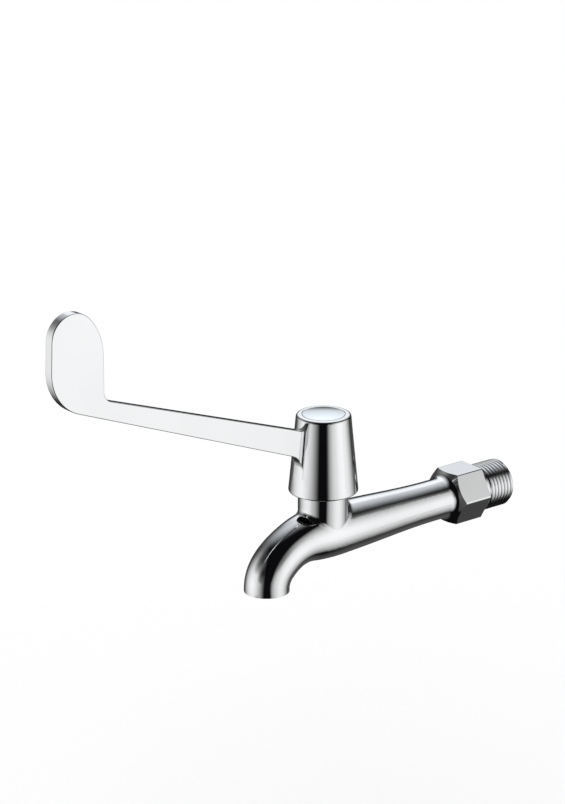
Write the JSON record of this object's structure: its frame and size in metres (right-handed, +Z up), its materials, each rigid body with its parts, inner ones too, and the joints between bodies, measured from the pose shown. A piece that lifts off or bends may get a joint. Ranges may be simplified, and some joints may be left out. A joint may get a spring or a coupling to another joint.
{
  "type": "elbow lever tap",
  "caption": "Wall-mounted bib tap with a curved spout and a long paddle lever on a conical hub, pushed by elbow or forearm.",
  "frame": {"origin": "centre of the hexagon's back face, on the axis of the inlet thread, where the thread starts", "axes": "+Y along the inlet thread into the wall, +Z up, +X to the right as seen from the room; the spout and the closed lever point along -Y"},
  "size_m": [0.03, 0.2425, 0.143],
  "materials": {
    "body_chrome": "polished chrome plate on a brass casting",
    "lever_chrome": "polished chrome plate on a zinc or brass casting",
    "cap_chrome": "polished chrome plate",
    "headwork_brass": "turned, bright",
    "spindle_brass": "turned, bright",
    "insert_brass": "broached",
    "disc_ceramic": "lapped alumina",
    "seal_rubber": "moulded black rubber",
    "inner_plastic": "moulded acetal",
    "washer_fibre": "red vulcanised fibre",
    "spring_steel": "spring steel",
    "screw_steel": "stainless steel"
  },
  "bodies": {
    "tap": {"tap_body": "body_chrome", "headwork_housing": "headwork_brass", "fixed_disc": "disc_ceramic", "seat_seal": "seal_rubber", "seal_support_ring": "inner_plastic", "housing_washer": "washer_fibre"},
    "lever": {"lever_handle": "lever_chrome", "index_cap": "cap_chrome", "cap_o_ring": "seal_rubber", "handle_screw": "screw_steel", "lock_washer": "spring_steel", "spline_insert": "insert_brass", "spindle": "spindle_brass", "lower_spindle_o_ring": "seal_rubber", "upper_spindle_o_ring": "seal_rubber", "spindle_circlip": "spring_steel", "glide_washer": "inner_plastic", "rotating_disc": "disc_ceramic"}
  },
  "joints": [
    {"name": "lever_turn", "type": "hinge", "parent": "tap", "child": "lever", "pos_m": [0, -0.0848, 0.035], "axis": [0, 0, 1], "range_deg": [0, 90]}
  ]
}
